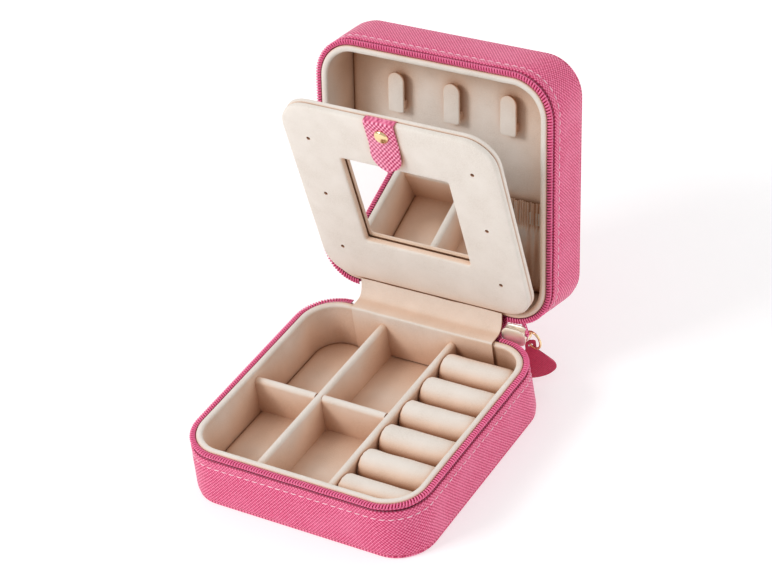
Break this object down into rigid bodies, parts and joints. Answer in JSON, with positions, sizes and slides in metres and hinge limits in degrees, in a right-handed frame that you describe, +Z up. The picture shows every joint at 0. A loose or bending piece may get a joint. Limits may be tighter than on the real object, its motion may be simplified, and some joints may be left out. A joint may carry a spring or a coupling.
{
  "type": "travel jewelry case",
  "caption": "Square zipped travel jewelry case with divided lower tray, ring rolls, necklace hooks, elastic pocket and hinged mirror panel in the lid",
  "frame": {"origin": "middle of the lower tray's underside, on the table", "axes": "+Z up, -Y the front where the zip opens, +Y the hinge side, +X right seen from the front"},
  "size_m": [0.1, 0.1478, 0.1257],
  "materials": {
    "pink_leather": "saffiano cross-hatch, satin",
    "raspberry_leather": "fine grain, satin",
    "zip_tape": "knitted tape",
    "zip_coil": "nylon coil",
    "velvet": "short pile velvet",
    "board": "pressed grey board",
    "mirror_glass": "silvered glass",
    "gold_metal": "polished gold plating",
    "elastic": "covered elastic band"
  },
  "bodies": {
    "base": {"base_outer_wall": "pink_leather", "base_bottom_panel": "pink_leather", "base_wall_board": "board", "base_bottom_board": "board", "base_zip_tape": "zip_tape", "base_zip_coil": "zip_coil", "base_liner_wall": "velvet", "base_floor_pad": "velvet", "long_divider": "velvet", "ring_divider": "velvet", "cross_divider_left": "velvet", "cross_divider_centre": "velvet", "ring_roll_1": "velvet", "ring_roll_2": "velvet", "ring_roll_3": "velvet", "ring_roll_4": "velvet", "ring_roll_5": "velvet", "ring_roll_6": "velvet", "spine_leather": "pink_leather", "velvet_flap": "velvet", "lid_zip_tail": "zip_tape", "slider_body": "gold_metal", "slider_bail": "gold_metal"},
    "lid": {"lid_outer_wall": "pink_leather", "lid_top_panel": "pink_leather", "lid_wall_board": "board", "lid_top_board": "board", "lid_zip_tape": "zip_tape", "lid_zip_coil": "zip_coil", "lid_liner_wall": "velvet", "lid_back_pad": "velvet", "hook_1": "velvet", "hook_2": "velvet", "hook_3": "velvet", "pocket": "velvet", "pocket_elastic": "elastic"},
    "mirror_panel": {"panel_front": "velvet", "mirror": "mirror_glass", "mirror_frame": "board", "panel_back": "velvet", "pull_tab": "pink_leather", "rivet_cap": "gold_metal", "rivet_washer": "gold_metal"},
    "ring": {"zip_ring": "gold_metal"},
    "pull": {"leather_pull": "raspberry_leather"}
  },
  "joints": [
    {"name": "lid_hinge", "type": "hinge", "parent": "base", "child": "lid", "pos_m": [0, 0.0531, 0.025], "axis": [-1, 0, 0], "range_deg": [-101.5, 48.5], "deforming": ["spine_leather", "velvet_flap", "lid_zip_tail"]},
    {"name": "panel_hinge", "type": "hinge", "parent": "lid", "child": "mirror_panel", "pos_m": [0, 0.05703, 0.03226], "axis": [1, 0, 0], "range_deg": [-21.5, 10.3]},
    {"name": "ring_swing", "type": "hinge", "parent": "base", "child": "ring", "pos_m": [0.03852, 0.05613, 0.0221], "axis": [0, 0, 1], "range_deg": [-10, 0]},
    {"name": "pull_swing", "type": "hinge", "parent": "ring", "child": "pull", "pos_m": [0.0403, 0.0557, 0.019], "axis": [0.866, 0.5, 0], "range_deg": [0, 25]}
  ],
  "couplings": [
    {"joint": "panel_hinge", "follows": "lid_hinge", "ratio": 0.21182}
  ]
}
